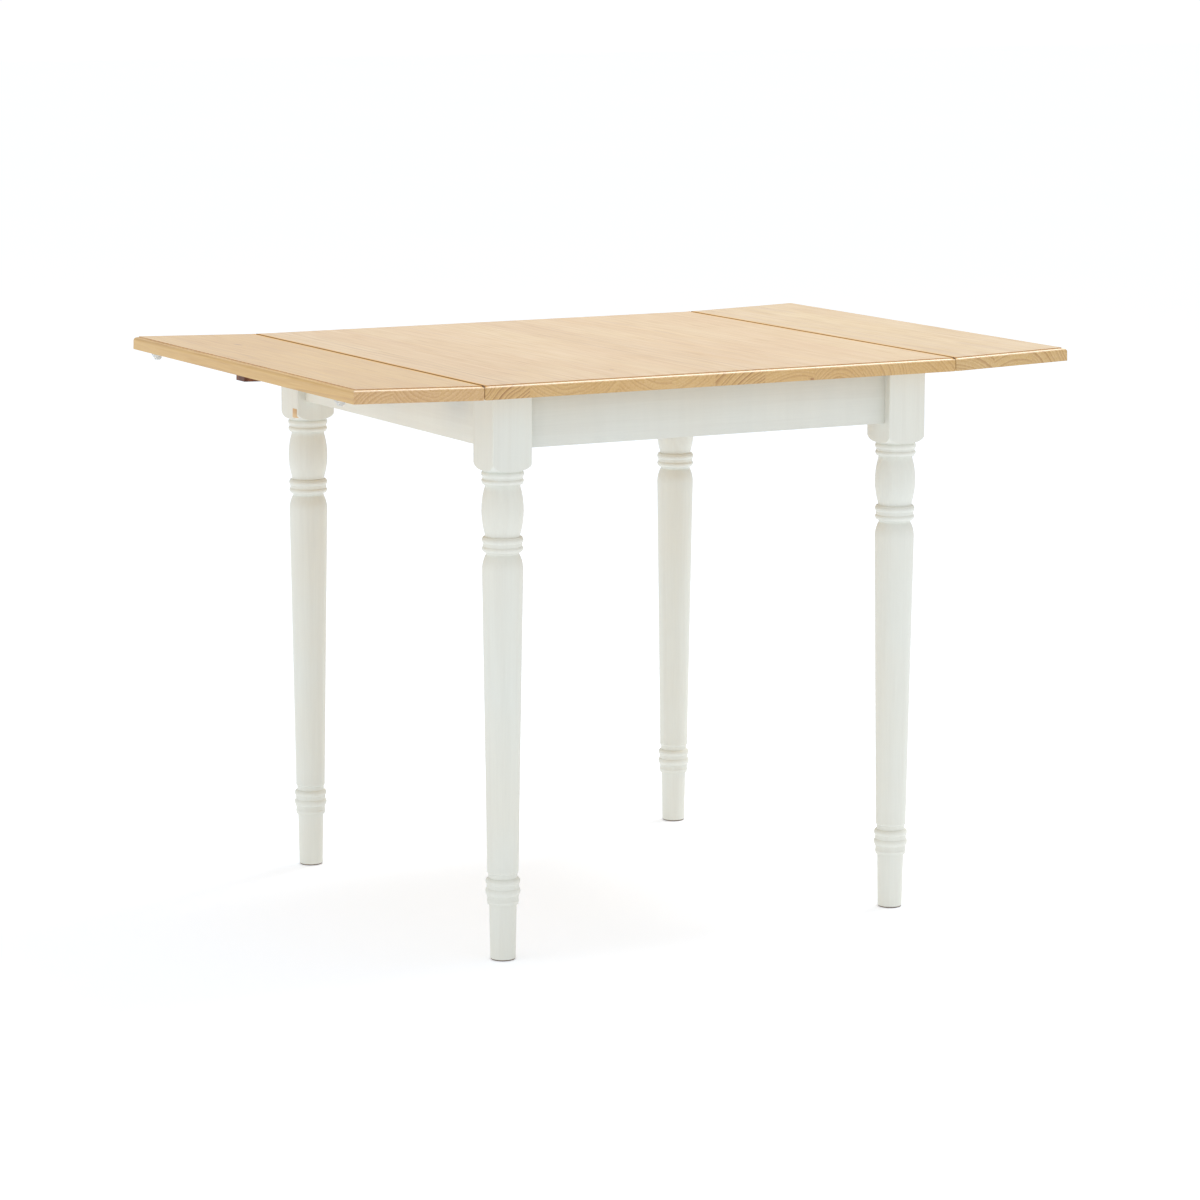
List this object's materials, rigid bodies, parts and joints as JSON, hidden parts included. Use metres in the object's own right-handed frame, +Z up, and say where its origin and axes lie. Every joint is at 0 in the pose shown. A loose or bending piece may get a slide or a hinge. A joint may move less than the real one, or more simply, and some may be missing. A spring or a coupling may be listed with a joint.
{
  "type": "drop leaf table",
  "caption": "Drop-leaf table with an off-white turned-leg frame and a honey pine top, whose end leaves fold down on hinges and are held up by sliding stays.",
  "frame": {"origin": "on the floor under the middle of the table", "axes": "+X along the opened length towards the right leaf, +Y along the depth towards the back, +Z up"},
  "size_m": [1.0596, 0.71, 0.7549],
  "materials": {
    "honey_pine": "satin honey lacquer on glued pine staves",
    "white_paint": "satin off-white paint on turned and sawn pine",
    "raw_pine": "bare sawn pine",
    "bronze_steel": "antique bronze plated steel",
    "zinc_steel": "bright zinc plate",
    "roller_plastic": "matt nylon",
    "foot_plastic": "matt dark plastic",
    "clear_silicone": "clear soft silicone"
  },
  "bodies": {
    "frame": {"centre_top": "honey_pine", "front_left_leg": "white_paint", "front_right_leg": "white_paint", "back_left_leg": "white_paint", "back_right_leg": "white_paint", "front_apron": "white_paint", "back_apron": "white_paint", "left_apron": "white_paint", "right_apron": "white_paint", "front_left_corner_brace": "raw_pine", "front_right_corner_brace": "raw_pine", "back_left_corner_brace": "raw_pine", "back_right_corner_brace": "raw_pine", "front_top_cleat": "raw_pine", "back_top_cleat": "raw_pine", "left_top_cleat": "raw_pine", "right_top_cleat": "raw_pine", "front_left_foot_glide": "foot_plastic", "front_right_foot_glide": "foot_plastic", "back_left_foot_glide": "foot_plastic", "back_right_foot_glide": "foot_plastic", "left_front_hinge_top_plate": "bronze_steel", "left_back_hinge_top_plate": "bronze_steel", "right_front_hinge_top_plate": "bronze_steel", "right_back_hinge_top_plate": "bronze_steel", "left_front_hinge_pin": "bronze_steel", "left_back_hinge_pin": "bronze_steel", "right_front_hinge_pin": "bronze_steel", "right_back_hinge_pin": "bronze_steel", "left_stay_bracket": "bronze_steel", "right_stay_bracket": "bronze_steel", "left_stay_rivet": "bronze_steel", "right_stay_rivet": "bronze_steel", "hanger_bolts": "zinc_steel", "hanger_washers": "zinc_steel", "hanger_nuts": "zinc_steel", "brace_screws": "bronze_steel", "cleat_screws": "bronze_steel", "frame_fitting_screws": "bronze_steel", "leg_plug": "raw_pine"},
    "left_leaf": {"left_leaf": "honey_pine", "left_leaf_front_bumper": "clear_silicone", "left_leaf_back_bumper": "clear_silicone", "left_front_hinge_leaf_plate": "bronze_steel", "left_back_hinge_leaf_plate": "bronze_steel", "left_stay_track": "bronze_steel", "left_leaf_screws": "bronze_steel"},
    "left_stay_arm": {"left_stay_arm": "bronze_steel", "left_stay_roller": "roller_plastic"},
    "right_leaf": {"right_leaf": "honey_pine", "right_leaf_front_bumper": "clear_silicone", "right_leaf_back_bumper": "clear_silicone", "right_front_hinge_leaf_plate": "bronze_steel", "right_back_hinge_leaf_plate": "bronze_steel", "right_stay_track": "bronze_steel", "right_leaf_screws": "bronze_steel"},
    "right_stay_arm": {"right_stay_arm": "bronze_steel", "right_stay_roller": "roller_plastic"}
  },
  "joints": [
    {"name": "left_leaf_fold", "type": "hinge", "parent": "frame", "child": "left_leaf", "pos_m": [-0.35, 0, 0.7285], "axis": [0, -1, 0], "range_deg": [0, 97]},
    {"name": "left_stay_swing", "type": "hinge", "parent": "frame", "child": "left_stay_arm", "pos_m": [-0.334, 0, 0.7125], "axis": [0, -1, 0], "range_deg": [0, 98]},
    {"name": "right_leaf_fold", "type": "hinge", "parent": "frame", "child": "right_leaf", "pos_m": [0.35, 0, 0.7285], "axis": [0, 1, 0], "range_deg": [0, 97]},
    {"name": "right_stay_swing", "type": "hinge", "parent": "frame", "child": "right_stay_arm", "pos_m": [0.334, 0, 0.7125], "axis": [0, 1, 0], "range_deg": [0, 98]}
  ],
  "couplings": [
    {"joint": "left_stay_swing", "follows": "left_leaf_fold", "ratio": 1.005},
    {"joint": "right_stay_swing", "follows": "right_leaf_fold", "ratio": 1.005}
  ]
}
